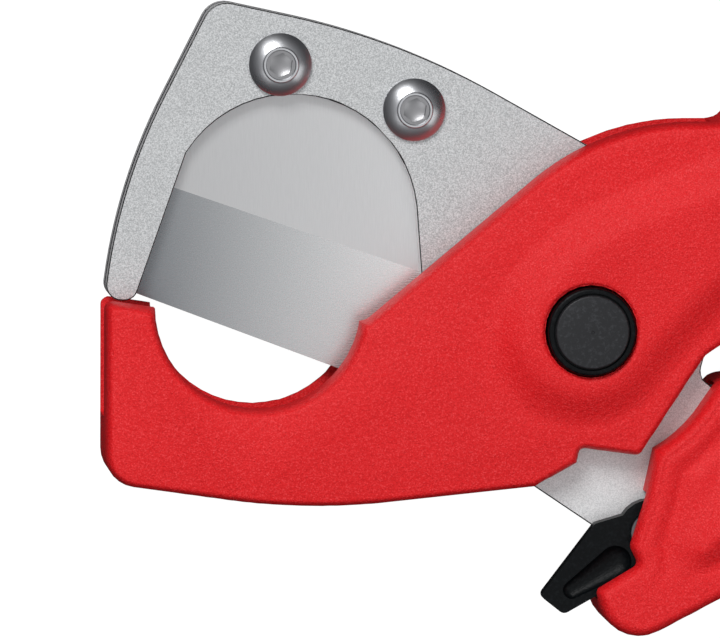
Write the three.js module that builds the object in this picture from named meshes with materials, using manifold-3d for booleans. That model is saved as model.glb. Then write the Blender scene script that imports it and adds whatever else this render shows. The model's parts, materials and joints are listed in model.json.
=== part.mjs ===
// Hand cutter for plastic and composite pipe: a two-part red frame with a pipe saddle, a blade held between
// two steel plates that turn in the frame, and a lower handle with a thumb lock lever.
// Millimetres. The tool lies on its rear side, +Z up, with the pivot axis at the origin and +X midway
// between the two handles. The outlines are drawn with the jaw to the left and the pivot at 0, 0, and the
// whole drawing is turned once at the end. Depths in the drawing are measured from the middle plane.

import * as THREE from "three";
import { ConvexGeometry } from "three/addons/geometries/ConvexGeometry.js";
import { mergeVertices } from "three/addons/utils/BufferGeometryUtils.js";
import Module from "manifold-3d";

const wasm = await Module();
wasm.setup();

// ---------------------------------------------------------------- driving dimensions

const DRAWING_TURN = -21.5;      // degrees from the drawing's X axis to the line midway between the handles
const ARC_STEP = 15;             // most degrees of arc to a facet of a rounded corner
const FACET = 1.8;               // and most millimetres
const ROUND_SIDES = 24;          // facets of a turned piece or a round hole

const FIT_GAP = 0.3;             // clearance round a pin, screw, cap or pocket
const RUN_GAP = 0.2;             // clearance between faces that turn on each other

const BLADE_THICK = 1.4;
const PLATE_THICK = 1.9;
const WASHER_THICK = 0.3;
const RIM_HALF = 7.5;            // half the thickness of the frame and the lower handle at their rims
const PLATEAU_RISE = 2;          // how far the raised grip stands above the rim face, on each side
const PLATE_OUT = BLADE_THICK / 2 + PLATE_THICK;
const SLOT_HALF = PLATE_OUT + RUN_GAP + WASHER_THICK;
const FACE_HALF = RIM_HALF + PLATEAU_RISE;

const SADDLE_RADIUS = 12.6;      // takes pipe up to 25 mm
const SADDLE = [-40, 2.9];

const UPPER_ANGLE = 33;          // degrees of the upper handle's centre line in the drawing
const UPPER_START = [16, 12];    // a point of that line beside the hub
const UPPER_LENGTH = 132;        // from that point to the end
const UPPER_HALF_WIDTH = 12;
const LOWER_ANGLE = 10;
const LOWER_START = [16.2, -6.6];   // the lower handle's corner in the throat
const LOWER_LENGTH = 130;
const THROAT_RADIUS = 17.1;      // the lower handle's edge is an arc about the pivot, clear of the frame
const LOWER_WIDTH = 20.8;
const GRIP_INSET = 4.2;          // from a handle's rim to its raised grip
const GRIP_END_INSET = 6;

const PIVOT_RADIUS = 3;
const BUSH_RADIUS = 5;
const CAP_RADIUS = 5.35;
const CAP_FACE_RADIUS = 4.4;
const CAP_PROUD = 1.2;
const BOLT_HEAD_RADIUS = 4.8;
const BOLT_HEAD_HIGH = 2.4;
const BOLT_SEAT = 5.2;           // depth of the seat under the bolt's head, from the middle plane
const NUT_SEAT = 4.6;
const NUT_HIGH = 3.2;
const NUT_ACROSS = 9;
const WASHER_RADIUS = 9;

const SPRING_WIRE = 0.55;        // wire radius
const SPRING_RADIUS = 8;
const SPRING_TURNS = 2.25;
const SPRING_PITCH = 1.2;
const SPRING_ROOM = 4.2;         // depth of the ring-shaped recess in the rear frame

const BLADE_SCREWS = [[-37.3, 32], [-21, 26.5]];
const BLADE_SCREW_RADIUS = 2;
const BUTTON_RADIUS = 3.8;
const BUTTON_HIGH = 1.8;
const BUTTON_FLAT = 2.05;
const BUTTON_HEX = 2.5;
const BLADE_NUT_ACROSS = 7;
const BLADE_NUT_HIGH = 3.2;

const CASE_SCREW_RADIUS = 1.5;
const CASE_HEAD_RADIUS = 2.75;
const CASE_HEAD_HIGH = 2;
const CASE_SEAT = 5.2;           // from the middle plane to the seat of the head
const CASE_THREAD = 4;           // how far the thread reaches past the middle plane
const CASE_HEX = 2;
const FRAME_SCREWS = [[-50, -15.6], [-28, -17.3], alongUpper(28), alongUpper(104)];
const HANDLE_SCREWS = [alongLower(15), alongLower(33), alongLower(112)];

const LEVER_PIVOT = [8, -25];
const LEVER_BACK = PLATE_OUT + RUN_GAP;   // the thumb lever lies over the front plate
const LEVER_THICK = 2;
const LEVER_FRONT = LEVER_BACK + LEVER_THICK;
const LEVER_HUB_RADIUS = 4;
const LEVER_PIN_RADIUS = 1.5;
const LEVER_PIN_HALF = 6;
const THUMB_DEPTH = 1.2;
const LEVER_WASHER_THICK = 0.5;
const LEVER_WASHER_RADIUS = 2.5;

// ---------------------------------------------------------------- helpers

function alongUpper(distance, side = 0) {
  const angle = THREE.MathUtils.degToRad(UPPER_ANGLE);
  const x = UPPER_START[0] + distance * Math.cos(angle) - side * Math.sin(angle);
  const y = UPPER_START[1] + distance * Math.sin(angle) + side * Math.cos(angle);
  return [x, y];
}

// A point beside the lower handle's centre line, positive side towards the upper handle.
function alongLower(distance, side = 0) {
  const angle = THREE.MathUtils.degToRad(LOWER_ANGLE);
  const across = side - LOWER_WIDTH / 2;
  const x = LOWER_START[0] + distance * Math.cos(angle) - across * Math.sin(angle);
  const y = LOWER_START[1] + distance * Math.sin(angle) + across * Math.cos(angle);
  return [x, y];
}

// Corners [x, y, radius] joined by straight sides, each rounded to its radius.
function outline(corners) {
  const points = [];
  const count = corners.length;
  corners.forEach(([x, y, radius = 0], index) => {
    const corner = new THREE.Vector2(x, y);
    if (radius === 0) {
      points.push(corner);
      return;
    }
    const [before, after] = [corners[(index + count - 1) % count], corners[(index + 1) % count]].map(
      (other) => new THREE.Vector2(other[0], other[1]).sub(corner).normalize());
    const half = Math.acos(THREE.MathUtils.clamp(before.dot(after), -1, 1)) / 2;
    const centre = before.clone().add(after).normalize().multiplyScalar(radius / Math.sin(half)).add(corner);
    const reach = radius / Math.tan(half);
    const from = before.clone().multiplyScalar(reach).add(corner).sub(centre).angle();
    const to = after.clone().multiplyScalar(reach).add(corner).sub(centre).angle();
    const sweep = THREE.MathUtils.euclideanModulo(to - from + Math.PI, 2 * Math.PI) - Math.PI;
    points.push(...arc(centre.x, centre.y, radius, from, sweep));
  });
  return new THREE.Shape(points);
}

function arc(x, y, radius, from, sweep) {
  const turn = Math.abs(sweep);
  const byAngle = Math.ceil(THREE.MathUtils.radToDeg(turn) / ARC_STEP);
  const steps = Math.max(2, byAngle, Math.ceil(radius * turn / FACET));
  return Array.from({ length: steps + 1 }, (_, step) => {
    const angle = from + (sweep * step) / steps;
    return new THREE.Vector2(x + radius * Math.cos(angle), y + radius * Math.sin(angle));
  });
}

// A smooth curve through a few points, as corners of an outline.
function flowing(points, steps) {
  const curve = new THREE.SplineCurve(points.map(([x, y]) => new THREE.Vector2(x, y)));
  return corners(curve.getSpacedPoints(steps));
}

// An arc's points as the sharp corners of an outline.
function corners(points) {
  return points.map(({ x, y }) => [x, y]);
}

function solid(geometry) {
  const bare = geometry.clone();
  bare.deleteAttribute("normal");
  bare.deleteAttribute("uv");
  const merged = mergeVertices(bare, 1e-5);
  return new wasm.Manifold(new wasm.Mesh({
    numProp: 3,
    vertProperties: new Float32Array(merged.attributes.position.array),
    triVerts: new Uint32Array(merged.index.array),
  }));
}

function geometryOf(body) {
  const { vertProperties, triVerts } = body.getMesh();
  const geometry = new THREE.BufferGeometry();
  geometry.setAttribute("position", new THREE.BufferAttribute(vertProperties, 3));
  geometry.setIndex(new THREE.BufferAttribute(triVerts, 1));
  const faceted = geometry.toNonIndexed();
  faceted.computeVertexNormals();
  return faceted;
}

// A flat outline given depth, from one height over the middle plane to another.
function prism(shape, low, high) {
  const geometry = new THREE.ExtrudeGeometry(shape, { depth: high - low, bevelEnabled: false });
  return solid(geometry.translate(0, 0, low));
}

// The same on one side of the middle plane: side 1 is the front, -1 the rear.
function layer(shape, side, inner, outer) {
  return side > 0 ? prism(shape, inner, outer) : prism(shape, -outer, -inner);
}

function round([x, y], radius, low, high, sides = ROUND_SIDES) {
  const geometry = new THREE.CylinderGeometry(radius, radius, high - low, sides);
  return solid(geometry.rotateX(Math.PI / 2).translate(x, y, (low + high) / 2));
}

function hexagon([x, y], across, low, high) {
  return round([x, y], across / Math.sqrt(3), low, high, 6);
}

// A turned piece: [radius, height] points from the axis round to the axis again.
function turned([x, y], profile) {
  const points = profile.map(([radius, height]) => new THREE.Vector2(radius, height));
  const geometry = new THREE.LatheGeometry(points, ROUND_SIDES);
  return solid(geometry.rotateX(Math.PI / 2).translate(x, y, 0));
}

function ring(centre, inner, outer, low, high) {
  return round(centre, outer, low, high).subtract(round(centre, inner, low - 1, high + 1));
}

const painted = { color: 0xd7282d, roughness: 0.55, metalness: 0.1 };
const plateSteel = { color: 0xbec3c6, roughness: 0.4, metalness: 0.9 };
const bladeSteel = { color: 0xbebec0, roughness: 0.3, metalness: 1 };
const brightSteel = { color: 0xd8dadc, roughness: 0.15, metalness: 1 };
const zincSteel = { color: 0xa8acb0, roughness: 0.35, metalness: 0.9 };
const springSteel = { color: 0x70747a, roughness: 0.35, metalness: 1 };
const bronze = { color: 0xb08d57, roughness: 0.35, metalness: 1 };
const blackPlastic = { color: 0x2d2f31, roughness: 0.6, metalness: 0 };
const whitePlastic = { color: 0xe8e6df, roughness: 0.5, metalness: 0 };

const drawing = new THREE.Group();
drawing.rotation.z = THREE.MathUtils.degToRad(DRAWING_TURN);
drawing.position.z = FACE_HALF;

function piece(name, body, material) {
  const mesh = new THREE.Mesh(geometryOf(body), new THREE.MeshStandardMaterial(material));
  mesh.name = name;
  drawing.add(mesh);
}

// ---------------------------------------------------------------- outlines

const PIVOT = [0, 0];

const frameOutline = outline([
  [-58.6, 3.6, 1], [-52, 2.6], [-40, 0.9], [-26.9, 0.9, 2],          // top of the jaw and the saddle's lips
  [1.9, 25, 30], [16.6, 25, 3],                                      // over the hub
  [...alongUpper(13.2, UPPER_HALF_WIDTH), 4],
  [...alongUpper(UPPER_LENGTH, UPPER_HALF_WIDTH), 9],
  [...alongUpper(UPPER_LENGTH + 2, -UPPER_HALF_WIDTH), 10],
  [14.4, -3.3, 4], [6.4, -15.5, 1],                                  // throat
  [-0.9, -14.5, 0.7], [-1.2, -16.3, 0.5], [-6.4, -19.2, 0.6],        // catch for the lock lever
  [-34, -22, 80], [-58.6, -18.5, 4],                                 // belly of the jaw
]);

// The slot that the blade and its plates swing in. Round it, below and behind, the two halves meet.
const swingSlot = outline([
  [-70, -9.6], [-24, -13.6], [-16.6, -14.6], [-11, -26], [24, -26], [22, -1], [19.4, 6], [17.8, 14],
  [14.3, 30], [-70, 30],
]);

const framePlateau = outline([
  ...flowing([
    alongUpper(26, UPPER_HALF_WIDTH - GRIP_INSET), alongUpper(10, UPPER_HALF_WIDTH - GRIP_INSET),
    [1, 16.2], [-6.6, 10.8], [-11.6, 4.2], [-12.4, -3], [-8, -9.8], [-0.6, -12.2], [6.6, -9.8],
    [11.4, -4.2], alongUpper(3, GRIP_INSET - UPPER_HALF_WIDTH), alongUpper(16, GRIP_INSET - UPPER_HALF_WIDTH),
  ], 44),
  [...alongUpper(UPPER_LENGTH - GRIP_END_INSET, GRIP_INSET - UPPER_HALF_WIDTH), 6.5],
  [...alongUpper(UPPER_LENGTH - GRIP_END_INSET, UPPER_HALF_WIDTH - GRIP_INSET), 6.5],
]);

const ARCH_CENTRE = [-35.8, 13.1];
const ARCH_RADIUS = 15.25;
const ARCH_FROM = 147;           // degrees, at the top of the leg
const ARCH_TO = 6;

const plateOutline = outline([
  [-58.6, 3.4, 1.9], [-56.7, 17.6, 70], [-45.4, 39.9, 3], [-22.7, 35, 90],   // leg and top edge
  [9, 17.2, 7], [16.2, 1.5, 6], [13.9, -6.8, 2],                             // round the hub
  alongLower(3.5, LOWER_WIDTH / 2 - 3), [...alongLower(38, LOWER_WIDTH / 2 - 3.5), 3],
  [...alongLower(38, -2.5), 3], [...alongLower(8, -2.5), 5],                 // tang inside the lower handle
  [8.6, -29.4, 4.2], [-9.2, -17.4, 3], [-19.3, -2.5, 6],
  ...corners(arc(...ARCH_CENTRE, ARCH_RADIUS, THREE.MathUtils.degToRad(ARCH_TO),
    THREE.MathUtils.degToRad(ARCH_FROM - ARCH_TO))),
  [-54.9, 3.4, 1.7],
]);

const spacerOutline = outline([
  [-13, 18, 4], [8, 15.5, 5], [14.8, 1.5, 6], [12.6, -7.6, 2],
  alongLower(4.5, LOWER_WIDTH / 2 - 4), [...alongLower(37, LOWER_WIDTH / 2 - 4.5), 2],
  [...alongLower(37, -1.5), 2], [...alongLower(8, -1.5), 5],
  [8.5, -27.9, 3.4], [-8.4, -16.4, 2], [-16.5, -3.5, 5],
]);

const lowerOutline = outline([
  [...LOWER_START, 2.5],
  ...corners(arc(0, 0, THROAT_RADIUS, THREE.MathUtils.degToRad(-32), THREE.MathUtils.degToRad(-28.5))),
  [7.2, -20.6, 2], [5.3, -26.6, 1.2], [6.4, -28.8, 0.8],
  [1.2, -31.9, 0.8], [3.4, -39.9, 5],                                        // nose under the lever
  [...alongLower(12.7, -LOWER_WIDTH / 2), 25],
  [...alongLower(70, -LOWER_WIDTH / 2 - 1.2), 150],
  [...alongLower(LOWER_LENGTH, -LOWER_WIDTH / 2), 9],
  [...alongLower(LOWER_LENGTH - 2, LOWER_WIDTH / 2), 8],
]);

const lowerPlateau = outline([
  [...alongLower(3.5, LOWER_WIDTH / 2 - GRIP_INSET), 6],
  [12.4, -23, 8], [7.6, -33.8, 3.2],
  [...alongLower(14, GRIP_INSET - LOWER_WIDTH / 2), 20],
  [...alongLower(LOWER_LENGTH - GRIP_END_INSET, GRIP_INSET - LOWER_WIDTH / 2), 5.5],
  [...alongLower(LOWER_LENGTH - GRIP_END_INSET, LOWER_WIDTH / 2 - GRIP_INSET), 5.5],
]);

const tangPocket = outline([
  [-6, -12], [12, -5.6], [20.4, -8.5], alongLower(38.4, LOWER_WIDTH / 2 - 3.1),
  alongLower(38.4, -2.9), alongLower(8.2, -2.9), [8.8, -30.1, 4], [-9.5, -17.9],
]);

const paddleOutline = outline([
  [8, -21.9], [1.2, -23.9, 0.8], [-5.5, -32.7, 0.7], [-2.6, -35, 0.9], [9.5, -28.2],
]);
const leverPocket = outline([
  [9.6, -19.8], [-9, -21.6], [-9, -35.4], [-2.4, -35.4], [6.4, -30.5], [11, -28],
]);
const thumbRecess = outline([[-3.9, -33.3, 0.4], [2.6, -25.9, 1.8], [6.3, -29.2, 1.7]]);

// ---------------------------------------------------------------- frame

function caseScrewHole(centre, side) {
  const thread = round(centre, CASE_SCREW_RADIUS + FIT_GAP, -FACE_HALF - 1, CASE_THREAD + FIT_GAP);
  const head = round(centre, CASE_HEAD_RADIUS + FIT_GAP, -FACE_HALF - 1, -CASE_SEAT);
  return side > 0 ? thread : thread.add(head);
}

function frameHalf(side) {
  let body = layer(frameOutline, side, 0, RIM_HALF)
    .subtract(prism(swingSlot, -SLOT_HALF, SLOT_HALF))
    .add(layer(framePlateau, side, RIM_HALF - 1, FACE_HALF))
    .subtract(round(SADDLE, SADDLE_RADIUS, -FACE_HALF, FACE_HALF, 2 * ROUND_SIDES))
    .subtract(round(PIVOT, PIVOT_RADIUS + FIT_GAP, -FACE_HALF, FACE_HALF));
  for (const centre of FRAME_SCREWS) body = body.subtract(caseScrewHole(centre, side));
  return body;
}

const boltRecess = round(PIVOT, CAP_RADIUS + FIT_GAP, BOLT_SEAT, FACE_HALF + 1);
piece("front_frame", frameHalf(1).subtract(boltRecess), painted);

const nutRecess = round(PIVOT, CAP_RADIUS + FIT_GAP, -FACE_HALF - 1, -NUT_SEAT);
const springInner = SPRING_RADIUS - SPRING_WIRE - RUN_GAP - FIT_GAP;
const springOuter = SPRING_RADIUS + SPRING_WIRE + RUN_GAP + FIT_GAP;
const springRecess = ring(PIVOT, springInner, springOuter, -SLOT_HALF - SPRING_ROOM, -SLOT_HALF + 1);
piece("rear_frame", frameHalf(-1).subtract(nutRecess).subtract(springRecess), painted);

function caseScrew(centre) {
  const body = turned(centre, [
    [0, -CASE_SEAT - CASE_HEAD_HIGH], [CASE_HEAD_RADIUS - 0.5, -CASE_SEAT - CASE_HEAD_HIGH],
    [CASE_HEAD_RADIUS, -CASE_SEAT - CASE_HEAD_HIGH + 0.6], [CASE_HEAD_RADIUS, -CASE_SEAT],
    [CASE_SCREW_RADIUS, -CASE_SEAT], [CASE_SCREW_RADIUS, CASE_THREAD - 0.5],
    [CASE_SCREW_RADIUS - 0.5, CASE_THREAD], [0, CASE_THREAD],
  ]);
  const key = hexagon(centre, CASE_HEX, -CASE_SEAT - CASE_HEAD_HIGH - 1, -CASE_SEAT - CASE_HEAD_HIGH / 3);
  return body.subtract(key);
}

FRAME_SCREWS.forEach((centre, index) => piece(`frame_screw_${index + 1}`, caseScrew(centre), zincSteel));

// ---------------------------------------------------------------- pivot

const boltTop = BOLT_SEAT + BOLT_HEAD_HIGH;
const nutEnd = NUT_SEAT + NUT_HIGH;
piece("pivot_bolt", turned(PIVOT, [
  [0, -nutEnd + 0.2], [PIVOT_RADIUS - 0.5, -nutEnd + 0.2], [PIVOT_RADIUS, -nutEnd + 0.7],
  [PIVOT_RADIUS, BOLT_SEAT], [BOLT_HEAD_RADIUS, BOLT_SEAT], [BOLT_HEAD_RADIUS, boltTop - 0.4],
  [BOLT_HEAD_RADIUS - 0.4, boltTop], [0, boltTop],
]).subtract(hexagon(PIVOT, 4, boltTop - 1.6, boltTop + 1)), zincSteel);

piece("pivot_nut", hexagon(PIVOT, NUT_ACROSS, -nutEnd, -NUT_SEAT)
  .subtract(round(PIVOT, PIVOT_RADIUS + FIT_GAP, -nutEnd - 1, 0)), zincSteel);

const capTop = FACE_HALF + CAP_PROUD;
piece("front_pivot_cap", turned(PIVOT, [
  [0, boltTop + FIT_GAP], [CAP_RADIUS, boltTop + FIT_GAP], [CAP_RADIUS, capTop - 0.9],
  [CAP_RADIUS - 0.3, capTop - 0.6], [CAP_FACE_RADIUS, capTop - 0.6],
  [CAP_FACE_RADIUS, capTop], [0.35, capTop], [0, capTop - 0.15],
]), blackPlastic);

piece("rear_pivot_cap", turned(PIVOT, [
  [0, -FACE_HALF], [CAP_FACE_RADIUS, -FACE_HALF], [CAP_RADIUS, -FACE_HALF + 0.4],
  [CAP_RADIUS, -nutEnd - FIT_GAP], [0, -nutEnd - FIT_GAP],
]), blackPlastic);

piece("pivot_bush", ring(PIVOT, PIVOT_RADIUS + FIT_GAP, BUSH_RADIUS, -SLOT_HALF, SLOT_HALF), bronze);

const washerInner = BUSH_RADIUS + FIT_GAP;
piece("front_thrust_washer",
  ring(PIVOT, washerInner, WASHER_RADIUS, SLOT_HALF - WASHER_THICK, SLOT_HALF), whitePlastic);
const rearWasherInner = springOuter + FIT_GAP;
piece("rear_thrust_washer",
  ring(PIVOT, rearWasherInner, rearWasherInner + 2.8, -SLOT_HALF, -SLOT_HALF + WASHER_THICK), whitePlastic);

// The opening spring: a coil in the rear frame's ring recess, with a leg turned up into the rear plate.
class SpringCurve extends THREE.Curve {
  getPoint(t, target = new THREE.Vector3()) {
    const angle = 2 * Math.PI * SPRING_TURNS * t;
    const height = -SLOT_HALF - SPRING_WIRE - RUN_GAP - SPRING_PITCH * SPRING_TURNS * (1 - t);
    return target.set(SPRING_RADIUS * Math.cos(angle), SPRING_RADIUS * Math.sin(angle), height);
  }
}
const coilTop = -SLOT_HALF - SPRING_WIRE - RUN_GAP;
const springEnd = new SpringCurve().getPoint(1);
const springLeg = [springEnd.x, springEnd.y];
const WIRE_SIDES = 6;
const wireSection = new THREE.Shape(Array.from({ length: WIRE_SIDES }, (_, side) => {
  const angle = (2 * Math.PI * side) / WIRE_SIDES;
  return new THREE.Vector2(SPRING_WIRE * Math.cos(angle), SPRING_WIRE * Math.sin(angle));
}));
const coil = solid(new THREE.ExtrudeGeometry(wireSection, {
  steps: Math.round(16 * SPRING_TURNS), extrudePath: new SpringCurve(), bevelEnabled: false,
}));
piece("opening_spring", coil.add(round(springLeg, SPRING_WIRE, coilTop - 0.2, -BLADE_THICK / 2 - 0.6, 12)),
  springSteel);

// ---------------------------------------------------------------- blade and its plates

function screwHoles(body, centres, radius) {
  return centres.reduce((rest, centre) =>
    rest.subtract(round(centre, radius + FIT_GAP, -FACE_HALF, FACE_HALF)), body);
}

const TANG_SCREWS = HANDLE_SCREWS.slice(0, 2);

function tangHoles(body) {
  const cleared = body.subtract(round(PIVOT, BUSH_RADIUS + FIT_GAP, -FACE_HALF, FACE_HALF));
  return screwHoles(screwHoles(cleared, TANG_SCREWS, CASE_SCREW_RADIUS), [LEVER_PIVOT], LEVER_PIN_RADIUS);
}

function bladePlate(side) {
  const plate = layer(plateOutline, side, BLADE_THICK / 2, PLATE_OUT);
  return screwHoles(tangHoles(plate), BLADE_SCREWS, BLADE_SCREW_RADIUS);
}

piece("front_blade_plate", bladePlate(1), plateSteel);
piece("rear_blade_plate", bladePlate(-1)
  .subtract(round(springLeg, SPRING_WIRE + FIT_GAP, -FACE_HALF, 0, 16)), plateSteel);
piece("tail_spacer", tangHoles(prism(spacerOutline, -BLADE_THICK / 2, BLADE_THICK / 2)), zincSteel);

const BEVEL_LEFT = [-54.1, 18.4];
const BEVEL_RIGHT = [-18, 6];
const EDGE_LEFT = [-56, 4.65];
const EDGE_RIGHT = [-25.5, -6.8];
const EDGE_HALF = 0.05;          // half the thickness left at the cutting edge
const bladeBack = outline([
  BEVEL_LEFT, [-47.4, 34], [-44, 37.6, 1.5], [-16, 29.6, 1.5], [-16.8, 23], [-17.6, 19], BEVEL_RIGHT,
]);
// The bevelled part, with a second pair of points inside the back at each end of the bevel line.
const wedgePoints = [
  ...[BEVEL_LEFT, BEVEL_RIGHT].flatMap(([x, y]) => [1, -1].flatMap((side) => [
    new THREE.Vector3(x, y, side * BLADE_THICK / 2),
    new THREE.Vector3(x + (x < -40 ? 1 : -1), y + 1, side * BLADE_THICK / 2),
  ])),
  ...[EDGE_LEFT, EDGE_RIGHT].flatMap(([x, y]) => [1, -1].map((side) =>
    new THREE.Vector3(x, y, side * EDGE_HALF))),
];
const wedge = solid(new ConvexGeometry(wedgePoints));
piece("blade", screwHoles(prism(bladeBack, -BLADE_THICK / 2, BLADE_THICK / 2).add(wedge),
  BLADE_SCREWS, BLADE_SCREW_RADIUS), bladeSteel);

const buttonTop = PLATE_OUT + BUTTON_HIGH;
const bladeNutEnd = PLATE_OUT + BLADE_NUT_HIGH;

function buttonScrew(centre) {
  const domeSteps = 4;
  const dome = Array.from({ length: domeSteps + 1 }, (_, step) => {
    const angle = (step / domeSteps) * Math.PI / 2;
    const radius = BUTTON_FLAT + (BUTTON_RADIUS - BUTTON_FLAT) * Math.cos(angle);
    return [radius, PLATE_OUT + 0.3 + (BUTTON_HIGH - 0.3) * Math.sin(angle)];
  });
  return turned(centre, [
    [0, -bladeNutEnd - 0.8], [BLADE_SCREW_RADIUS - 0.4, -bladeNutEnd - 0.8],
    [BLADE_SCREW_RADIUS, -bladeNutEnd - 0.4], [BLADE_SCREW_RADIUS, PLATE_OUT], [BUTTON_RADIUS, PLATE_OUT],
    ...dome, [0, buttonTop],
  ]).subtract(hexagon(centre, BUTTON_HEX, buttonTop - 1.2, buttonTop + 1));
}

BLADE_SCREWS.forEach((centre, index) => {
  piece(`blade_screw_${index + 1}`, buttonScrew(centre), brightSteel);
  piece(`blade_nut_${index + 1}`, hexagon(centre, BLADE_NUT_ACROSS, -bladeNutEnd, -PLATE_OUT)
    .subtract(round(centre, BLADE_SCREW_RADIUS + FIT_GAP, -FACE_HALF, 0)), brightSteel);
});

// ---------------------------------------------------------------- lower handle and lock lever

const leverWasherTop = LEVER_FRONT + RUN_GAP + LEVER_WASHER_THICK;
const leverRoom = prism(leverPocket, -1, leverWasherTop)
  .add(round(LEVER_PIVOT, LEVER_HUB_RADIUS + FIT_GAP + 0.1, -1, leverWasherTop));

function handleHalf(side) {
  let body = layer(lowerOutline, side, 0, RIM_HALF)
    .add(layer(lowerPlateau, side, RIM_HALF - 1, FACE_HALF))
    .subtract(prism(tangPocket, -PLATE_OUT, PLATE_OUT))
    .subtract(round(LEVER_PIVOT, LEVER_PIN_RADIUS + FIT_GAP, -LEVER_PIN_HALF - 0.2, LEVER_PIN_HALF + 0.2));
  for (const centre of HANDLE_SCREWS) body = body.subtract(caseScrewHole(centre, side));
  return side > 0 ? body.subtract(leverRoom) : body;
}

piece("lower_handle_front", handleHalf(1), painted);
piece("lower_handle_rear", handleHalf(-1), painted);
HANDLE_SCREWS.forEach((centre, index) => piece(`handle_screw_${index + 1}`, caseScrew(centre), zincSteel));

piece("lock_lever", prism(paddleOutline, LEVER_BACK, LEVER_FRONT)
  .add(round(LEVER_PIVOT, LEVER_HUB_RADIUS, LEVER_BACK, LEVER_FRONT))
  .subtract(round(LEVER_PIVOT, LEVER_PIN_RADIUS + FIT_GAP, -FACE_HALF, FACE_HALF))
  .subtract(prism(thumbRecess, LEVER_FRONT - THUMB_DEPTH, LEVER_FRONT + 1)), blackPlastic);
piece("lever_pin", round(LEVER_PIVOT, LEVER_PIN_RADIUS, -LEVER_PIN_HALF, LEVER_PIN_HALF), zincSteel);
piece("lever_spring_washer", ring(LEVER_PIVOT, LEVER_PIN_RADIUS + FIT_GAP, LEVER_WASHER_RADIUS,
  LEVER_FRONT + RUN_GAP, leverWasherTop), springSteel);

export default drawing;
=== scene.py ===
# The looks of the pipe cutter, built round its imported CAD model. Blender 4.5, metres, +Z up.
import bpy
import bmesh
import json
import math
import numpy as np
from mathutils import Matrix, Vector, geometry


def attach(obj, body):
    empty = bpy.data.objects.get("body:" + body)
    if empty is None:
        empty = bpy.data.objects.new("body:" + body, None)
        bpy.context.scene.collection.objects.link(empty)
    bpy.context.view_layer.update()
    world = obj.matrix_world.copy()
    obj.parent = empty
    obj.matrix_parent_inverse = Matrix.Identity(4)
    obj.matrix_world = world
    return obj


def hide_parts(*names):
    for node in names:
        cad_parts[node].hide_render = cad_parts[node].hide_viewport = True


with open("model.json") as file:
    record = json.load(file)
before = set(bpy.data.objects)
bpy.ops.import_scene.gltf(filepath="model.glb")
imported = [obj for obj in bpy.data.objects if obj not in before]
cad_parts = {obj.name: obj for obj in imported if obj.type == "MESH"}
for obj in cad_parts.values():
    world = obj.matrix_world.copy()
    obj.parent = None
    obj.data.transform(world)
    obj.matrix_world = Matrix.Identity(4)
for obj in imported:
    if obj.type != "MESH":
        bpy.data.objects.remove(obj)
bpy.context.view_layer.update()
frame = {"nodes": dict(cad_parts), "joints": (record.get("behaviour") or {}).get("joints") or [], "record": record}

MM = 0.001

# ---------------------------------------------------------------- sizes taken from the frame

DRAWING_TURN = math.radians(-21.5)          # the design drawing is turned this much about the pivot
TURNED = Matrix.Rotation(DRAWING_TURN, 4, "Z")
joints = {joint["name"]: joint for joint in frame["joints"]}
MID = joints["cut"]["pos_m"][2]             # height of the middle plane
FACE = MID                                  # from the middle plane to the raised grip's face
RISE = 2.0 * MM                             # the raised grip over the rim
RIM = FACE - RISE                           # from the middle plane to the rim's face

slot_of = {part["node"]: part["material_slot"] for part in frame["record"]["subparts"]}
body_of = {name: body for body, names in frame["record"]["behaviour"]["bodies"].items() for name in names}


def drawn(x, y, z=0.0):
    """A point of the drawing (millimetres, pivot at 0, 0) in the frame's metres, z from the middle plane."""
    return TURNED @ Vector((x * MM, y * MM, 0)) + Vector((0, 0, MID + z * MM))


# ---------------------------------------------------------------- material helpers

MIX_FACTOR, MIX_FIRST, MIX_SECOND, MIX_RESULT = 0, 6, 7, 2     # a mix node's sockets for colours


def material(name):
    made = bpy.data.materials.new(name)
    made.use_nodes = True
    return made, made.node_tree, made.node_tree.nodes["Principled BSDF"]


def node(tree, kind, **values):
    """A shader node with its properties and input values set; a link is given as an output socket."""
    made = tree.nodes.new(kind)
    for key, value in values.items():
        if hasattr(made, key) and key not in made.inputs:
            setattr(made, key, value)
            continue
        socket = made.inputs[key.replace("_", " ")]
        if isinstance(value, bpy.types.NodeSocket):
            tree.links.new(value, socket)
        else:
            socket.default_value = value
    return made


def place(tree, scale=(1, 1, 1)):
    """Object coordinates turned into the drawing's directions and scaled."""
    coordinates = node(tree, "ShaderNodeTexCoord")
    turned_back = node(tree, "ShaderNodeMapping", vector_type="POINT", Vector=coordinates.outputs["Object"],
                       Rotation=(0, 0, -DRAWING_TURN))
    return node(tree, "ShaderNodeMapping", vector_type="POINT", Vector=turned_back.outputs["Vector"],
                Scale=scale).outputs["Vector"]


def along(tree, axis):
    """How far along one of the drawing's axes a point lies, in metres."""
    return node(tree, "ShaderNodeSeparateXYZ", Vector=place(tree)).outputs[axis]


def noise(tree, vector, scale, detail=2.0, roughness=0.5):
    return node(tree, "ShaderNodeTexNoise", Vector=vector, Scale=scale, Detail=detail,
                Roughness=roughness).outputs["Fac"]


def ramp(tree, factor, stops):
    made = node(tree, "ShaderNodeValToRGB", Fac=factor)
    elements = made.color_ramp.elements
    for index, (position, colour) in enumerate(stops):
        element = elements[index] if index < 2 else elements.new(position)
        element.position = position
        element.color = (*colour, 1)
    return made.outputs["Color"]


def spread(tree, value, low, high, to_low, to_high):
    """The value's range from low to high laid over another range, and held at its ends."""
    return node(tree, "ShaderNodeMapRange", Value=value, From_Min=low, From_Max=high,
                To_Min=to_low, To_Max=to_high).outputs["Result"]


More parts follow.
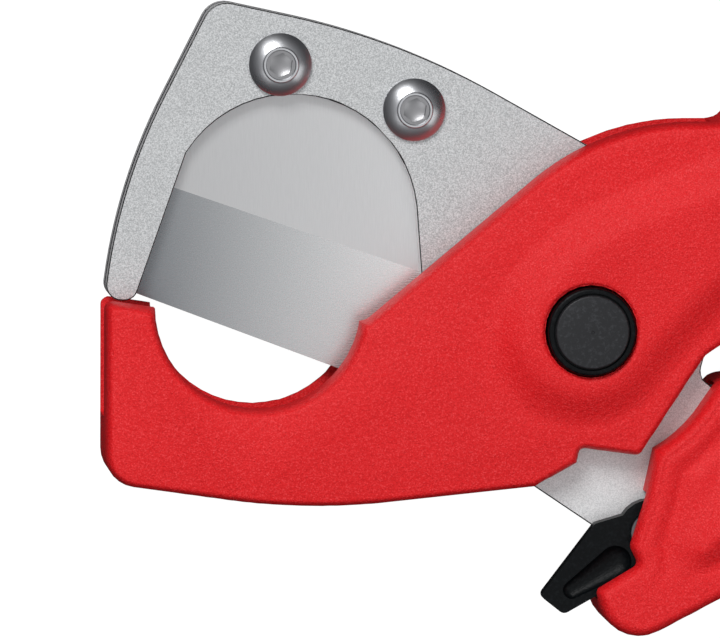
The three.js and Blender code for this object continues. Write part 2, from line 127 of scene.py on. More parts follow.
def mixed(tree, factor, first, second):
    made = node(tree, "ShaderNodeMix", data_type="RGBA", blend_type="MIX")
    for index, value in ((MIX_FACTOR, factor), (MIX_FIRST, first), (MIX_SECOND, second)):
        socket = made.inputs[index]
        if isinstance(value, bpy.types.NodeSocket):
            tree.links.new(value, socket)
        else:
            socket.default_value = value if isinstance(value, float) else (*value, 1)
    return made.outputs[MIX_RESULT]


def bump(tree, height, depth, strength, normal=None):
    made = node(tree, "ShaderNodeBump", Height=height, Distance=depth, Strength=strength)
    if normal is not None:
        tree.links.new(normal, made.inputs["Normal"])
    return made.outputs["Normal"]


def wired(tree, shader, colour, roughness, normal):
    """Links a material's three varying inputs to its shader."""
    tree.links.new(colour, shader.inputs["Base Color"])
    tree.links.new(roughness, shader.inputs["Roughness"])
    tree.links.new(normal, shader.inputs["Normal"])


# ---------------------------------------------------------------- materials; noise scales are cells per metre

PAINT_TONES = [(0.3, (0.70, 0.0085, 0.0115)), (0.7, (0.76, 0.0100, 0.0135))]
PAINT_LIGHT_SPECK = (0.95, 0.085, 0.095)
PAINT_DARK_SPECK = (0.42, 0.004, 0.006)
PAINT_GRAIN = 5200
PAINT_PEBBLE = 2200
PAINT_CLOUD = 40


def red_paint():
    """Textured powder coat: a fine grain of lighter and darker specks over a clean red."""
    made, tree, shader = material("red_powder_coat")
    where = place(tree)
    grain = noise(tree, where, PAINT_GRAIN, roughness=0.65)
    pebble = noise(tree, where, PAINT_PEBBLE)
    base = ramp(tree, noise(tree, where, PAINT_CLOUD), PAINT_TONES)
    light = mixed(tree, spread(tree, grain, 0.52, 0.70, 0.0, 0.50), base, PAINT_LIGHT_SPECK)
    colour = mixed(tree, spread(tree, grain, 0.30, 0.48, 0.45, 0.0), light, PAINT_DARK_SPECK)
    fine = bump(tree, grain, 0.11 * MM, 0.8)
    rough = spread(tree, pebble, 0.3, 0.7, 0.40, 0.54)
    wired(tree, shader, colour, rough, bump(tree, pebble, 0.14 * MM, 0.7, fine))
    shader.inputs["Specular IOR Level"].default_value = 0.22
    return made


BLASTED_TONES = [(0.34, (0.33, 0.34, 0.345)), (0.66, (0.68, 0.69, 0.695))]
BLASTED_CLOUD_TONE = (0.64, 0.65, 0.655)
PLATE_PAINTED_LIGHT_TONE = (1.0, 1.0, 1.0)
BLASTED_GRAIN = 6500
BLASTED_CLOUD = 30
PAINTED_LIGHT_START = 5 * MM                           # painted light: the plates lighten from here down the drawing
PAINTED_LIGHT_END = -15 * MM                       # to here


def plate_metal():
    """Blasted steel plate: a very fine grain, with painted light that makes the tail lighter than the head."""
    made, tree, shader = material("blasted_plate_steel")
    where = place(tree)
    grain = noise(tree, where, BLASTED_GRAIN, roughness=0.6)
    cloud = noise(tree, where, BLASTED_CLOUD)
    base = ramp(tree, grain, BLASTED_TONES)
    clouded = mixed(tree, spread(tree, cloud, 0.3, 0.7, 0.0, 0.12), base, BLASTED_CLOUD_TONE)
    # Painted light: the tone is lifted towards white down the tail.
    tail = spread(tree, along(tree, "Y"), PAINTED_LIGHT_START, PAINTED_LIGHT_END, 0.0, 0.30)
    colour = mixed(tree, tail, clouded, PLATE_PAINTED_LIGHT_TONE)
    rough = spread(tree, grain, 0.3, 0.7, 0.48, 0.36)
    wired(tree, shader, colour, rough, bump(tree, grain, 0.03 * MM, 0.5))
    shader.inputs["Metallic"].default_value = 0.22
    return made


BLADE_SHADED_END = -54 * MM                    # painted shade: the blade's tone runs along the drawing from its shaded end here
BLADE_LIT_END = -22 * MM                   # to its lit end here


def blade_metal(name, line_scale, shaded_tone, lit_tone, rough):
    """Ground steel with its fine lines running one way, with painted shade at one end of the blade grading into
    painted light at the other.
    """
    made, tree, shader = material(name)
    lines = noise(tree, place(tree, line_scale), 1.0, detail=3, roughness=0.6)
    # Painted shade and light: the tone runs from the shaded tone to the lit tone along the blade.
    share = spread(tree, along(tree, "X"), BLADE_SHADED_END, BLADE_LIT_END, 0.0, 1.0)
    painted_shade_tint = mixed(tree, share, shaded_tone, lit_tone)
    dark = mixed(tree, 0.06, painted_shade_tint, (0.0, 0.0, 0.0))
    colour = mixed(tree, spread(tree, lines, 0.3, 0.7, 0.0, 1.0), dark, painted_shade_tint)
    sheen = spread(tree, lines, 0.3, 0.7, rough + 0.05, rough - 0.04)
    wired(tree, shader, colour, sheen, bump(tree, lines, 0.01 * MM, 0.35))
    shader.inputs["Metallic"].default_value = 0.60
    return made


METAL_GRAIN = 1500
METAL_SMEAR = 160


def plain_metal(name, tone, rough, metallic=1.0):
    """Smooth metal with faint darker smears."""
    made, tree, shader = material(name)
    where = place(tree)
    grain = noise(tree, where, METAL_GRAIN)
    smear = noise(tree, where, METAL_SMEAR)
    smeared = tuple(0.82 * part for part in tone)
    colour = mixed(tree, spread(tree, smear, 0.35, 0.7, 0.0, 0.5), tone, smeared)
    sheen = spread(tree, smear, 0.3, 0.7, rough, rough + 0.06)
    wired(tree, shader, colour, sheen, bump(tree, grain, 0.01 * MM, 0.2))
    shader.inputs["Metallic"].default_value = metallic
    return made


PLASTIC_GRAIN = 2400
PLASTIC_CLOUD = 90


def moulded_plastic(name, tone, rough, shine=0.5, depth=0.05 * MM):
    """Fine-textured nylon: lighter grains over the tone."""
    made, tree, shader = material(name)
    where = place(tree)
    grain = noise(tree, where, PLASTIC_GRAIN, roughness=0.6)
    cloud = noise(tree, where, PLASTIC_CLOUD)
    light = tuple(min(1.0, 2.4 * part + 0.003) for part in tone)
    colour = mixed(tree, spread(tree, grain, 0.50, 0.75, 0.0, 0.8), tone, light)
    sheen = spread(tree, cloud, 0.3, 0.7, rough - 0.04, rough + 0.05)
    wired(tree, shader, colour, sheen, bump(tree, grain, depth, 0.5))
    shader.inputs["Specular IOR Level"].default_value = shine
    return made


UPRIGHT_LINES = (9000, 500, 900)            # the flat's grinding lines run along the drawing's Y
LEVEL_LINES = (900, 12000, 900)             # and the bevel's along its X

RED = red_paint()
PLATE = plate_metal()
# Painted shade for the plates' rounded edges and a painted highlight for their walls.
PLATE_EDGE_SHADE = plain_metal("plate_edge_painted_shade", (0.05, 0.05, 0.052), 0.34)
PLATE_WALL_HIGHLIGHT = plain_metal("plate_wall_painted_highlight", (0.95, 0.95, 0.96), 0.30, metallic=0.2)
# Both blade finishes grade from painted shade at the far end to painted light at the near end.
BLADE_FLAT = blade_metal("ground_blade_flat", UPRIGHT_LINES, (0.50, 0.505, 0.51), (0.65, 0.655, 0.66), 0.32)
BLADE_BEVEL = blade_metal("ground_blade_bevel", LEVEL_LINES, (0.20, 0.215, 0.23), (0.80, 0.81, 0.81), 0.26)
BRIGHT = plain_metal("polished_screw_steel", (0.62, 0.63, 0.65), 0.26)
# Painted shade for the inside of the screws' hexagon sockets.
SOCKET_SHADE = plain_metal("screw_socket_painted_shade", (0.33, 0.33, 0.34), 0.30)
ZINC = plain_metal("zinc_plate", (0.46, 0.47, 0.49), 0.32)
SPRING = plain_metal("oiled_spring_steel", (0.16, 0.16, 0.17), 0.30)
BRONZE = plain_metal("bearing_bronze", (0.50, 0.30, 0.12), 0.30)
BLACK = moulded_plastic("black_nylon", (0.0018, 0.0026, 0.0032), 0.40, shine=0.11, depth=0.12 * MM)
CAP_GREY = moulded_plastic("dark_grey_nylon", (0.0150, 0.0155, 0.0175), 0.46, shine=0.28)
WHITE = moulded_plastic("white_nylon", (0.78, 0.77, 0.72), 0.42)

FINISH = {
    "painted_red": RED, "plate_steel": PLATE, "blade_steel": BLADE_FLAT, "bright_steel": BRIGHT,
    "zinc_steel": ZINC, "spring_steel": SPRING, "bronze": BRONZE, "black_plastic": BLACK,
    "white_plastic": WHITE,
}

# ---------------------------------------------------------------- outline helpers

WELD = 1e-7                     # metres: vertices closer than this are one
LEVEL_GAP = 2e-6                # metres: how far from a level a flat face may lie
TINY = 1e-18                    # keeps a division by an empty side from failing
FOLDED = 1e-9                   # and this one by the direction of an outline that folds back
CROWDED = 0.97                  # ring points nearer the outline than this share of their offset are dropped


def welded(source):
    """A bmesh of a CAD node with its vertices merged."""
    mesh = bmesh.new()
    mesh.from_mesh(frame["nodes"][source].data)
    bmesh.ops.remove_doubles(mesh, verts=mesh.verts, dist=WELD)
    mesh.verts.index_update()
    return mesh


def flat_loops(source, height):
    """Outlines of the node's flat faces at one height, largest first, as arrays of x, y."""
    mesh = welded(source)
    flat = [face for face in mesh.faces if all(abs(vert.co.z - height) < LEVEL_GAP for vert in face.verts)]
    level = set(flat)
    following = {}
    for face in flat:
        for loop in face.loops:
            if sum(linked in level for linked in loop.edge.link_faces) == 1:
                following[loop.vert.index] = loop.link_loop_next.vert.index
    place_of = {vert.index: (vert.co.x, vert.co.y) for vert in mesh.verts}
    loops = []
    while following:
        start, here = following.popitem()
        chain = [start]
        while here != start and here in following:
            chain.append(here)
            here = following.pop(here)
        loops.append(np.array([place_of[index] for index in chain]))
    mesh.free()
    return sorted(loops, key=lambda loop: -abs(area(loop)))


def area(loop):
    x, y = loop[:, 0], loop[:, 1]
    return 0.5 * float(np.sum(x * np.roll(y, -1) - np.roll(x, -1) * y))


def resampled(loop, step):
    """The closed outline with points no further apart than step, its own corners kept."""
    points = []
    for start, end in zip(loop, np.roll(loop, -1, axis=0)):
        count = max(1, math.ceil(float(np.linalg.norm(end - start)) / step))
        points.extend(start + (end - start) * index / count for index in range(count))
    return np.array(points)


def distance(points, loop):
    """Distance to a closed outline, positive inside it."""
    best = np.full(len(points), np.inf)
    crossings = np.zeros(len(points), dtype=int)
    for start, end in zip(loop, np.roll(loop, -1, axis=0)):
        side = end - start
        share = np.clip(((points - start) @ side) / max(side @ side, TINY), 0, 1)
        best = np.minimum(best, np.linalg.norm(points - (start + share[:, None] * side), axis=1))
        spans = (start[1] > points[:, 1]) != (end[1] > points[:, 1])
        if spans.any():
            cut = start[0] + (points[:, 1] - start[1]) * side[0] / side[1]
            crossings += spans & (points[:, 0] < cut)
    return np.where(crossings % 2 == 1, best, -best)


def ring_points(loop, offset, step):
    """Points a fixed distance inside (or outside, if negative) an outline."""
    dense = resampled(loop, step)
    if area(dense) < 0:
        dense = dense[::-1]
    ahead = np.roll(dense, -1, axis=0) - dense
    ahead /= np.linalg.norm(ahead, axis=1)[:, None]
    both = ahead + np.roll(ahead, 1, axis=0)
    inward = np.stack([-both[:, 1], both[:, 0]], axis=1)
    inward /= np.maximum(np.linalg.norm(inward, axis=1), FOLDED)[:, None]
    moved = dense + inward * offset
    kept = np.abs(distance(moved, loop)) > abs(offset) * CROWDED
    return moved[kept]


def circle_points(x, y, radius, count):
    around = np.linspace(0, 2 * math.pi, count, endpoint=False)
    return np.stack([x + radius * np.cos(around), y + radius * np.sin(around)], axis=1)


def smooth(value):
    value = np.clip(value, 0, 1)
    return value * value * (3 - 2 * value)


def quarter_round(share):
    """How far a quarter circle has fallen: 0 for a share of 0 or less, 1 for a share of 1."""
    return 1 - np.sqrt(np.clip(1 - np.clip(share, 0, 1) ** 2, 0, 1))


# ---------------------------------------------------------------- mesh helpers

SHARP = 32.0                    # degrees: an edge that bends more than this stays hard, or gets a bevel


def shade(mesh, limit=SHARP):
    """Smooth shading with hard edges where faces meet at more than the limit."""
    work = bmesh.new()
    work.from_mesh(mesh)
    for face in work.faces:
        face.smooth = True
    for edge in work.edges:
        edge.smooth = len(edge.link_faces) == 2 and edge.calc_face_angle(0) < math.radians(limit)
    work.to_mesh(mesh)
    work.free()


def applied(piece):
    """Makes the piece's modifiers part of its mesh."""
    graph = bpy.context.evaluated_depsgraph_get()
    mesh = bpy.data.meshes.new_from_object(piece.evaluated_get(graph))
    piece.modifiers.clear()
    piece.data = mesh


def new_object(name, data):
    made = bpy.data.objects.new(name, data)
    bpy.context.scene.collection.objects.link(made)
    return made


def made_piece(name, work):
    """An object from a bmesh, which is freed, with its faces pointing out."""
    bmesh.ops.recalc_face_normals(work, faces=work.faces)
    mesh = bpy.data.meshes.new(name)
    work.to_mesh(mesh)
    work.free()
    return new_object(name, mesh)


def wall(work, lower, upper):
    """Faces between two closed rings of vertices; a ring may be one vertex repeated."""
    for index in range(len(lower)):
        following = (index + 1) % len(lower)
        corners = [lower[index], lower[following], upper[following], upper[index]]
        work.faces.new(list(dict.fromkeys(corners)))


def combined(piece, other, operation):
    """Joins the piece to the other, cuts it by it or keeps what lies within it; the other is used up."""
    step = piece.modifiers.new("step", "BOOLEAN")
    step.operation = operation
    step.solver = "MANIFOLD"
    step.object = other
    applied(piece)
    bpy.data.objects.remove(other)


def edged(piece, width, segments, sharp, clamped):
    """Rounds the piece's edges that bend more than sharp degrees."""
    bevel = piece.modifiers.new("edges", "BEVEL")
    bevel.width = width
    bevel.segments = segments
    bevel.limit_method = "ANGLE"
    bevel.angle_limit = math.radians(sharp)
    bevel.use_clamp_overlap = clamped
    applied(piece)


def weighted(piece):
    """Normals that keep the large faces flat beside the rounded edges."""
    normals = piece.modifiers.new("normals", "WEIGHTED_NORMAL")
    normals.keep_sharp = True
    applied(piece)


def finished(piece, source, *materials):
    """The piece rides and is finished as the CAD node that it stands for."""
    piece.data.materials.clear()
    for made in materials or (FINISH[slot_of[source]],):
        piece.data.materials.append(made)
    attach(piece, body_of[source])
    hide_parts(source)
    return piece


# ---------------------------------------------------------------- castings with rounded rims

FLANK = 5.4 * MM                # width of the slope up to the raised grip
FLANK_MARGIN = 0.6 * MM         # the fine rings run this far past the slope
OUTER_RING = -0.3 * MM          # a ring of points just outside the rim
RIM_RINGS = 8
FLANK_RINGS = 10
GROOVE_RINGS = np.linspace(-1.6, 1.6, 9)         # from a groove's middle, in its widths
HOLE_RINGS = (0.05 * MM, 0.15 * MM, 0.3 * MM, 0.5 * MM, 0.8 * MM)
HOLE_STEPS = 60
LIP_ROUND = 0.5 * MM            # the rounding of a hole's mouth
RING_STEP = 0.9 * MM
GRID_STEP = 1.6 * MM
POINT_GAP = 0.12 * MM           # points closer than this are one
BLOCK_MARGIN = 2 * MM           # a block reaches past its casting's outline
BLOCK_BACK = 0.5 * MM           # and past the middle plane

# The handle's grooves fade in behind its nose, along the handle's own direction.
GRIP_TURN = DRAWING_TURN + math.radians(10)
GRIP_ACROSS = np.array([-math.sin(GRIP_TURN), math.cos(GRIP_TURN)])
GRIP_NOSE = float(np.array(drawn(7.2, -33.0)[:2]) @ GRIP_ACROSS)
GROOVE_FADE = 6 * MM


class Skin:
    """The outer skin of a casting: its rim, its raised grip, its holes, and how its edge falls away."""

    def __init__(self, rim, grip, holes, edge_in, edge_down, grooves):
        self.rim = rim
        self.grip = grip
        self.holes = holes
        self.edge_in = edge_in
        self.edge_down = edge_down
        self.grooves = grooves

    def points(self):
        """Rings along the rim, up the flank, in the grooves and round the holes, and a grid between them."""
        turns = np.linspace(0, math.pi / 2, RIM_RINGS)[1:]
        rings = [(self.rim, self.edge_in * (1 - math.cos(turn))) for turn in turns]
        reach = np.linspace(-FLANK_MARGIN, FLANK + FLANK_MARGIN, FLANK_RINGS)
        rings += [(self.grip, offset) for offset in reach]
        for away, width, _ in self.grooves:
            rings += [(self.rim, away + share * width) for share in GROOVE_RINGS]
        sets = [ring_points(self.rim, OUTER_RING, RING_STEP), resampled(self.rim, RING_STEP)]
        sets += [ring_points(loop, offset, RING_STEP) for loop, offset in rings]
        for x, y, radius in self.holes:
            sets += [circle_points(x, y, radius + grow, HOLE_STEPS) for grow in HOLE_RINGS]
        sets.append(self.open_ground())
        points = np.concatenate(sets)
        _, first = np.unique(np.round(points / POINT_GAP).astype(int), axis=0, return_index=True)
        return points[np.sort(first)]

    def open_ground(self):
        """A triangular grid where the skin is nearly flat."""
        low, high = self.rim.min(axis=0), self.rim.max(axis=0)
        across = np.arange(low[0], high[0], GRID_STEP)
        rows = np.arange(low[1], high[1], GRID_STEP * math.sqrt(3) / 2)
        grid = np.array([(x + (row % 2) * GRID_STEP / 2, y) for row, y in enumerate(rows) for x in across])
        from_grip = distance(grid, self.grip)
        clear = distance(grid, self.rim) > self.edge_in + FLANK_MARGIN
        clear &= (from_grip < -2 * FLANK_MARGIN) | (from_grip > FLANK + 2 * FLANK_MARGIN)
        for x, y, radius in self.holes:
            from_middle = np.hypot(grid[:, 0] - x, grid[:, 1] - y)
            clear &= from_middle > radius + HOLE_RINGS[-1] + FLANK_MARGIN
        return grid[clear]

    def heights(self, points):
        """Height of the skin over the middle plane."""
        inside = distance(points, self.rim)
        height = RIM - self.edge_down * quarter_round(1 - inside / self.edge_in)
        height = height + RISE * smooth(distance(points, self.grip) / FLANK)
        faded = smooth((points @ GRIP_ACROSS - GRIP_NOSE) / GROOVE_FADE)
        for away, width, depth in self.grooves:
            height = height - faded * depth * np.exp(-((inside - away) / width) ** 2)
        for x, y, radius in self.holes:
            from_wall = np.hypot(points[:, 0] - x, points[:, 1] - y) - radius
            height = height - LIP_ROUND * quarter_round(1 - from_wall / LIP_ROUND)
        return height


def block_under(name, points, heights, side):
    """A closed block whose outer side is the skin and whose inner side lies past the middle plane."""
    low, high = points.min(axis=0) - BLOCK_MARGIN, points.max(axis=0) + BLOCK_MARGIN
    corners = np.array([(low[0], low[1]), (high[0], low[1]), (high[0], high[1]), (low[0], high[1])])
    everywhere = [Vector(point) for point in np.concatenate([corners, points])]
    levels = np.concatenate([np.full(len(corners), RIM), heights])
    border = [list(range(len(corners)))]
    places, _, triangles, origins, _, _ = geometry.delaunay_2d_cdt(everywhere, [], border, 1, WELD)
    work = bmesh.new()
    top = [work.verts.new((co.x, co.y, MID + side * levels[ids[0]])) for co, ids in zip(places, origins)]
    for triangle in triangles:
        work.faces.new([top[index] for index in triangle])
    base = [work.verts.new((x, y, MID - side * BLOCK_BACK)) for x, y in corners]
    wall(work, top[:len(corners)], base)
    work.faces.new(base)
    return made_piece(name, work)


def casting(source, side, edge_in, edge_down, holes=(), grooves=()):
    """The node's casting with its rim rounded and its grip raised in one flowing surface."""
    rim = flat_loops(source, MID + side * RIM)[0]
    grip = flat_loops(source, MID + side * FACE)[0]
    skin = Skin(rim, grip, holes, edge_in, edge_down, grooves)
    points = skin.points()
    block = block_under(f"{source}_block", points, skin.heights(points), side)
    piece = made_piece(f"{source}_casting", welded(source))
    combined(piece, block, "INTERSECT")
    shade(piece.data)
    finished(piece, source)


CAP_RECESS = (0.0, 0.0, 5.65 * MM)          # x, y and radius of the hole for a pivot cap
SHALLOW_GROOVE = (1.4 * MM, 0.35 * MM, 0.15 * MM)               # in from the rim, width and depth
DEEP_GROOVE = (3.8 * MM, 1.0 * MM, 0.55 * MM)

casting("front_frame", 1, 0.95 * MM, 2.2 * MM, holes=[CAP_RECESS])
casting("rear_frame", -1, 2.2 * MM, 4.0 * MM, holes=[CAP_RECESS])
casting("lower_handle_front", 1, 1.4 * MM, 1.9 * MM, grooves=[SHALLOW_GROOVE, DEEP_GROOVE])
casting("lower_handle_rear", -1, 1.4 * MM, 1.9 * MM, grooves=[SHALLOW_GROOVE, DEEP_GROOVE])

# ---------------------------------------------------------------- plates, blade and small metal parts

FACE_SLOPE = 0.98               # a normal more upright than this belongs to a plate's face
WALL_SLOPE = 0.3                # and one less upright than this to its wall
BEVEL_SLOPES = (0.9, 0.9997)    # the blade's ground bevel lies between these


def bevelled(source, width, *materials, segments=2, limit=SHARP):
    """A copy of the CAD node with its edges rounded and its curved walls smooth."""
    piece = made_piece(f"{source}_fine", welded(source))
    edged(piece, width, segments, SHARP, False)
    shade(piece.data, limit)
    weighted(piece)
    return finished(piece, source, *materials)


# The plates' rounded edges carry a painted shade, darker than their blasted faces, and their walls a painted
# highlight, brighter.
for name in ("front_blade_plate", "rear_blade_plate"):
    plate = bevelled(name, 0.16 * MM, PLATE, PLATE_EDGE_SHADE, PLATE_WALL_HIGHLIGHT, segments=3)
    for face in plate.data.polygons:
        upright = abs(face.normal.z)
        face.material_index = int(upright <= FACE_SLOPE) + int(upright <= WALL_SLOPE)

# The blade's ground bevel has a finish of its own, divided from the flat by a crisp line.
blade = bevelled("blade", 0.04 * MM, BLADE_FLAT, BLADE_BEVEL, segments=1, limit=1.0)
for face in blade.data.polygons:
    face.material_index = int(BEVEL_SLOPES[0] < abs(face.normal.z) < BEVEL_SLOPES[1])

for name in ("tail_spacer", "lever_pin", "lever_spring_washer", "pivot_bush", "front_thrust_washer",
             "rear_thrust_washer", "pivot_bolt"):
    bevelled(name, 0.05 * MM, segments=1)
for name in ("pivot_nut", "blade_nut_1", "blade_nut_2"):
    bevelled(name, 0.3 * MM)
for name in slot_of:
    if name.startswith(("frame_screw", "handle_screw")):
        bevelled(name, 0.1 * MM)

# ---------------------------------------------------------------- turned pieces, their sizes in millimetres

TURN_STEPS = 96
ROUND_STEPS = 5


def middle(source):
    """Where the axis of a turned CAD node lies: x and y of its box's middle."""
    corners = np.array([vert.co[:] for vert in frame["nodes"][source].data.vertices])
    return (corners.min(axis=0) + corners.max(axis=0))[:2] / 2


def turned(source, profile):
    """A solid of revolution from [radius, height] points, height from the middle plane."""
    x, y = middle(source)
    work = bmesh.new()
    rows = []
    for radius, height in profile:
        level = MID + height * MM
        if radius == 0:
            rows.append([work.verts.new((x, y, level))] * TURN_STEPS)
        else:
            ring = circle_points(x, y, radius * MM, TURN_STEPS)
            rows.append([work.verts.new((*point, level)) for point in ring])
    for lower, upper in zip(rows, rows[1:]):
        wall(work, lower, upper)
    return made_piece(f"{source}_fine", work)


def rounded(corner_radius, x, y):
    """Points of a quarter round that ends a cylinder's wall: x, y is the sharp corner."""
    return [(x - corner_radius * (1 - math.cos(angle)), y - corner_radius * (1 - math.sin(angle)))
            for angle in np.linspace(0, math.pi / 2, ROUND_STEPS)]


PLATE_OUT = 2.6                             # from the middle plane to the plates' outer face
SHANK_END = -6.6
SHANK_RADIUS = 2.0
SHANK_CHAMFER = 0.35
BUTTON_TOP = PLATE_OUT + 1.65
BUTTON_RADIUS = 3.8
BUTTON_SLOPE = math.radians(42)             # how steeply the dome meets the plate
DOME_STEPS = 16
LAND_RADIUS = 2.15                          # the flat land round the socket
LAND_STEP = 0.08                            # its small step up from the dome
MOUTH_RADIUS = 1.85                         # the round mouth that leads into the hexagon
MOUTH_CHAMFER = 0.1
MOUTH_DEPTH = 0.22
# The painted shade of the socket begins inside this radius.
SOCKET_SHADE_RADIUS = MOUTH_RADIUS - 0.06
HEXAGON_ACROSS = 2.6
HEXAGON_DEPTH = 1.1
HEXAGON_POINT = 0.55
HEXAGON_OVER = 1.0                          # the cutting bar stands this far over the head
HEAD_SHARP = 24.0                           # degrees


def pointed_hexagon(x, y):
    """The bar that cuts a hexagon socket, whose lower end comes to a shallow point."""
    work = bmesh.new()
    corners = circle_points(x, y, HEXAGON_ACROSS / math.sqrt(3) * MM, 6)
    low = MID + (BUTTON_TOP - HEXAGON_DEPTH) * MM
    high = MID + (BUTTON_TOP + HEXAGON_OVER) * MM
    base = [work.verts.new((*corner, low)) for corner in corners]
    top = [work.verts.new((*corner, high)) for corner in corners]
    tip = work.verts.new((x, y, low - HEXAGON_POINT * MM))
    work.faces.new(top)
    wall(work, base, top)
    wall(work, [tip] * len(base), base)
    return made_piece("socket", work)


def button_screw(source):
    """A polished button head: a low dome, a flat land and a hexagon socket, on its shank."""
    ball = BUTTON_RADIUS / math.sin(BUTTON_SLOPE)
    angles = np.linspace(BUTTON_SLOPE, math.asin(LAND_RADIUS / ball), DOME_STEPS)
    dome_top = BUTTON_TOP - LAND_STEP
    dome = [(ball * math.sin(angle), dome_top + ball * (math.cos(angle) - math.cos(angles[-1])))
            for angle in angles]
    piece = turned(source, [
        (0, SHANK_END), (SHANK_RADIUS - SHANK_CHAMFER, SHANK_END), (SHANK_RADIUS, SHANK_END + SHANK_CHAMFER),
        (SHANK_RADIUS, PLATE_OUT), (BUTTON_RADIUS, PLATE_OUT), *dome,
        (LAND_RADIUS - LAND_STEP, BUTTON_TOP), (MOUTH_RADIUS, BUTTON_TOP),
        (MOUTH_RADIUS - MOUTH_CHAMFER, BUTTON_TOP - MOUTH_DEPTH), (0, BUTTON_TOP - MOUTH_DEPTH),
    ])
    x, y = middle(source)
    combined(piece, pointed_hexagon(x, y), "DIFFERENCE")
    shade(piece.data, HEAD_SHARP)
    finished(piece, source, BRIGHT, SOCKET_SHADE)
    # Painted shade: faces inside the socket's mouth take the darker steel.
    for face in piece.data.polygons:
        near_axis = math.hypot(face.center.x - x, face.center.y - y) < SOCKET_SHADE_RADIUS * MM
        face.material_index = int(near_axis and face.center.z > MID + PLATE_OUT * MM)


button_screw("blade_screw_1")
button_screw("blade_screw_2")

CAP_RADIUS = 5.35
CAP_TOP = 10.7
CAP_BACK = 7.9
CAP_ROUND = 0.35
CAP_GROOVE = [(4.7, CAP_TOP - 0.35), (4.6, CAP_TOP - 0.6)]      # the groove's outer side and its floor
CAP_FACE = 4.45                                                 # radius of the raised grey face
CAP_FACE_ROUND = 0.22
CAP_PIT = [(0.20, CAP_TOP), (0.14, CAP_TOP - 0.1), (0, CAP_TOP - 0.1)]

cap = turned("front_pivot_cap", [
    (0, CAP_BACK), (CAP_RADIUS, CAP_BACK), *rounded(CAP_ROUND, CAP_RADIUS, CAP_TOP - CAP_ROUND), *CAP_GROOVE,
    (CAP_FACE, CAP_GROOVE[-1][1]), *rounded(CAP_FACE_ROUND, CAP_FACE, CAP_TOP), *CAP_PIT,
])
shade(cap.data)
finished(cap, "front_pivot_cap", BLACK, CAP_GREY)
for face in cap.data.polygons:
    face.material_index = int(math.hypot(face.center.x, face.center.y) < CAP_FACE * MM)

REAR_CAP_BACK = -8.1
REAR_CAP_FACE = -9.5
REAR_CAP_ROUND = 0.5
REAR_GROOVE_FLOOR = REAR_CAP_FACE + 0.15
REAR_CAP_GROOVE = [(4.0, REAR_CAP_FACE), (3.8, REAR_GROOVE_FLOOR), (3.5, REAR_GROOVE_FLOOR),
                   (3.3, REAR_CAP_FACE)]

rear_cap_rim = [(x, -y) for x, y in rounded(REAR_CAP_ROUND, CAP_RADIUS, -REAR_CAP_FACE)]
rear_cap = turned("rear_pivot_cap", [
    (0, REAR_CAP_BACK), (CAP_RADIUS, REAR_CAP_BACK), *rear_cap_rim, *REAR_CAP_GROOVE, (0, REAR_CAP_FACE),
])
shade(rear_cap.data)
finished(rear_cap, "rear_pivot_cap")

# ---------------------------------------------------------------- lock lever with its smooth thumb scoop

LEVER_FACE = 4.8                            # millimetres from the middle plane
SCOOP_TIP = (-1.6, -32.0, 1.10, 0.75)       # x, y, radius and depth of a ball in the lever's face
SCOOP_END = (3.7, -28.6, 2.00, 1.30)
BALL_RINGS = 19
BALL_STEPS = 40
RECESS_DEPTH = 1.2                          # how deep the CAD lever's plain recess is
FILL_DEPTH = 1.3                            # the filler goes a little past its floor
FILL_GROWTH = 1.03                          # and a little past its walls
LEVER_ROUND = 0.22 * MM
LEVER_SHARP = 40.0                          # degrees


def scoop():
    """A teardrop: the hull of two flattened balls sunk in the lever's face."""
    work = bmesh.new()
    for x, y, radius, depth in (SCOOP_TIP, SCOOP_END):
        centre = drawn(x, y, LEVER_FACE)
        for level in np.linspace(-math.pi / 2, math.pi / 2, BALL_RINGS):
            for around in np.linspace(0, 2 * math.pi, BALL_STEPS, endpoint=False):
                away = Vector((radius * math.cos(level) * math.cos(around),
                               radius * math.cos(level) * math.sin(around), depth * math.sin(level)))
                work.verts.new(centre + away * MM)
    bmesh.ops.remove_doubles(work, verts=work.verts, dist=WELD)
    hull = bmesh.ops.convex_hull(work, input=work.verts)
    inner = {item for item in hull["geom_interior"] if isinstance(item, bmesh.types.BMVert)}
    bmesh.ops.delete(work, geom=list(inner), context="VERTS")
    return made_piece("scoop", work)


def filler():
    """Fills the CAD lever's plain recess before the scoop is cut."""
    recess = flat_loops("lock_lever", MID + (LEVER_FACE - RECESS_DEPTH) * MM)[0]
    centre = recess.mean(axis=0)
    loop = centre + (recess - centre) * FILL_GROWTH
    work = bmesh.new()
    low = [work.verts.new((x, y, MID + (LEVER_FACE - FILL_DEPTH) * MM)) for x, y in loop]
    high = [work.verts.new((x, y, MID + LEVER_FACE * MM)) for x, y in loop]
    work.faces.new(low)
    work.faces.new(high)
    wall(work, low, high)
    return made_piece("filler", work)


lever = made_piece("lock_lever_fine", welded("lock_lever"))
combined(lever, filler(), "UNION")
combined(lever, scoop(), "DIFFERENCE")
edged(lever, LEVER_ROUND, 3, LEVER_SHARP, True)
shade(lever.data)
weighted(lever)
finished(lever, "lock_lever")

# ---------------------------------------------------------------- finishes on the CAD meshes

# Only the opening spring still shows its CAD mesh. A piece above stands for each other node.
for name, piece in frame["nodes"].items():
    piece.data.materials.clear()
    piece.data.materials.append(FINISH[slot_of[name]])

# ---------------------------------------------------------------- camera

VIEW_POINT = drawn(-27.45, 1.05, 2.6)
VIEW_FROM = TURNED @ Vector((-0.100, 0.090, 1.0)).normalized()
VIEW_RIGHT = TURNED @ Vector((0.9950, 0.0042, 0.0991)).normalized()
CAMERA_AWAY = 0.995
LENS = 410.0                                # millimetres, on a sensor this wide
SENSOR = 36.0

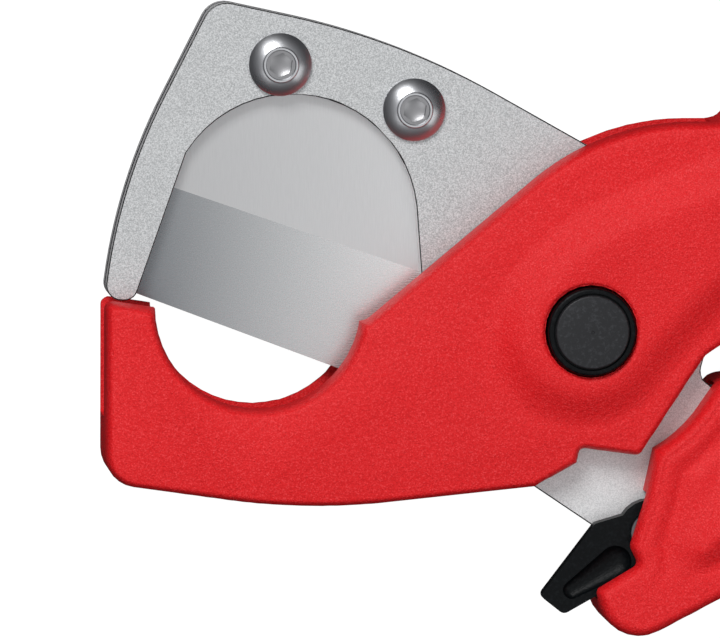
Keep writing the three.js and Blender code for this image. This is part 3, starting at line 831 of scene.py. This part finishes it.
camera_data = bpy.data.cameras.new("camera")
camera_data.lens = LENS
camera_data.sensor_width = SENSOR
camera_data.clip_start = 0.01
camera_data.clip_end = 20.0
camera = new_object("camera", camera_data)
up = VIEW_FROM.cross(VIEW_RIGHT).normalized()
right = up.cross(VIEW_FROM).normalized()
facing = Matrix((right, up, VIEW_FROM)).transposed().to_4x4()
camera.matrix_world = Matrix.Translation(VIEW_POINT + VIEW_FROM * CAMERA_AWAY) @ facing
bpy.context.scene.camera = camera

# ---------------------------------------------------------------- light and floor

LAMPS = {                                   # metres from the head, watts and width
    "key": ((-0.35, 0.75, 0.95), 11.0, 0.50),
    "fill": ((0.8, -0.35, 0.8), 1.4, 0.7),
    "front": ((-0.5, -0.5, 1.1), 1.0, 0.6),
}
SKY_TONES = [                               # from the horizon to straight overhead
    (0.0, (0.03, 0.03, 0.032)), (0.35, (0.05, 0.05, 0.055)), (0.62, (0.20, 0.20, 0.21)),
    (0.86, (0.76, 0.77, 0.78)), (1.0, (0.88, 0.88, 0.89)),
]
SKY_STRENGTH = 0.88
FLOOR_REACH = 1.5
FLOOR_TONE = (0.10, 0.10, 0.10, 1)
FLOOR_GLOW = (1, 1, 1, 1)


def lamp(name, away, watts, width):
    """A square soft light that stands away from the head, in the drawing's directions, and faces it."""
    data = bpy.data.lights.new(name, "AREA")
    data.energy = watts
    data.size = width
    spot = TURNED @ Vector(away) + VIEW_POINT
    aim = (spot - VIEW_POINT).to_track_quat("Z", "Y").to_matrix().to_4x4()
    new_object(name, data).matrix_world = Matrix.Translation(spot) @ aim


def studio_sky():
    """A world that is dark at the horizon and bright overhead."""
    world = bpy.data.worlds.new("studio")
    bpy.context.scene.world = world
    world.use_nodes = True
    sky = world.node_tree
    background = sky.nodes["Background"]
    direction = node(sky, "ShaderNodeTexCoord").outputs["Generated"]
    height = node(sky, "ShaderNodeSeparateXYZ", Vector=direction).outputs["Z"]
    sky.links.new(ramp(sky, height, SKY_TONES), background.inputs["Color"])
    background.inputs["Strength"].default_value = SKY_STRENGTH


def pale_floor():
    """A plain floor that glows evenly and that lends the pieces no light or reflection."""
    mesh = bpy.data.meshes.new("floor")
    corners = [(-1, -1), (1, -1), (1, 1), (-1, 1)]
    mesh.from_pydata([(x * FLOOR_REACH, y * FLOOR_REACH, 0) for x, y in corners], [], [(0, 1, 2, 3)])
    floor = new_object("floor", mesh)
    finish, _, shader = material("pale_floor")
    shader.inputs["Base Color"].default_value = FLOOR_TONE
    shader.inputs["Roughness"].default_value = 0.8
    shader.inputs["Emission Color"].default_value = FLOOR_GLOW
    shader.inputs["Emission Strength"].default_value = 1.0
    mesh.materials.append(finish)
    floor.visible_glossy = False
    floor.visible_diffuse = False


for name, (away, watts, width) in LAMPS.items():
    lamp(name, away, watts, width)
studio_sky()
pale_floor()

view = bpy.context.scene.view_settings
view.view_transform = "Standard"
view.exposure = 0.0
